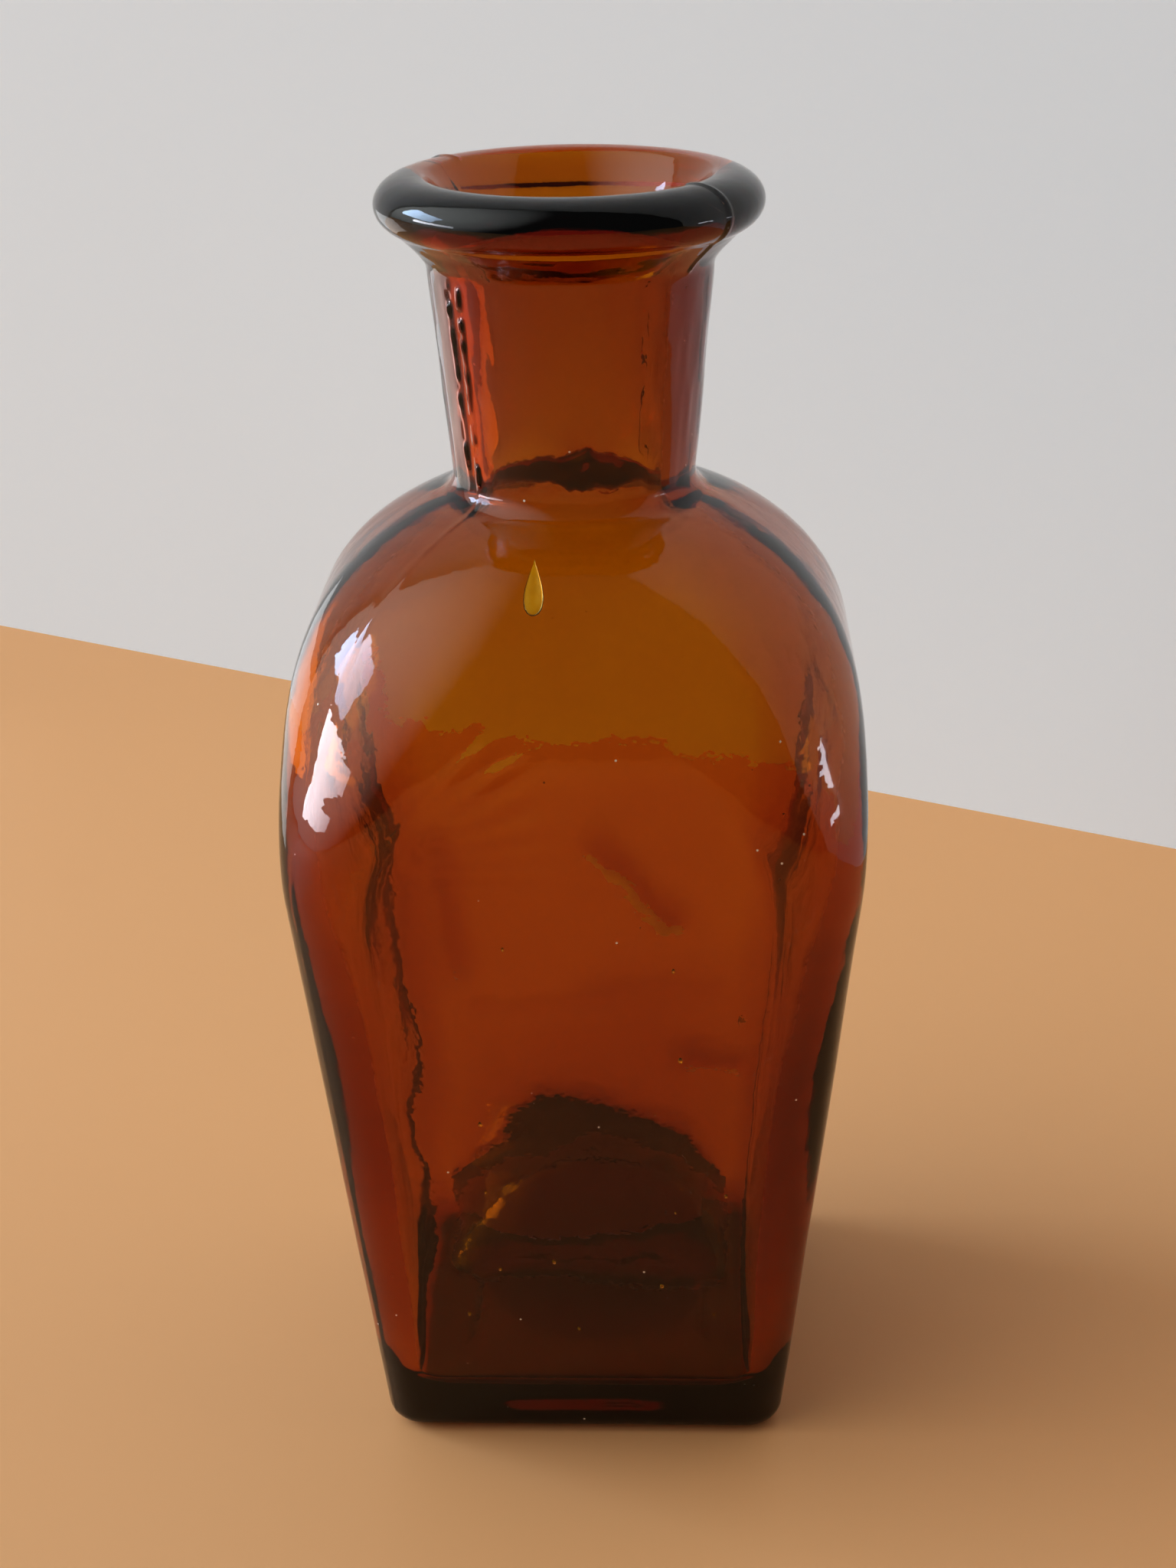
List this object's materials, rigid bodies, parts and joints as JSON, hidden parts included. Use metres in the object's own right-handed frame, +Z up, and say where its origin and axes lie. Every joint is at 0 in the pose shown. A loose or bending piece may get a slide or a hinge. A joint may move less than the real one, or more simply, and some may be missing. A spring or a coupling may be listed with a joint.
{
  "type": "square apothecary bottle",
  "caption": "Square amber glass medicine bottle with tapered body, domed shoulders, round neck and thick rolled lip, open at the mouth.",
  "frame": {"origin": "middle of the base, on the surface the bottle stands on", "axes": "+Z up along the bottle's axis; the four flat body panels face -Y (front), +X, +Y and -X"},
  "size_m": [0.1006, 0.1006, 0.23],
  "materials": {
    "amber_glass": "clear amber, glossy, with mould waves, seeds and light surface dust"
  },
  "bodies": {
    "root": {"bottle": "amber_glass"}
  },
  "joints": []
}
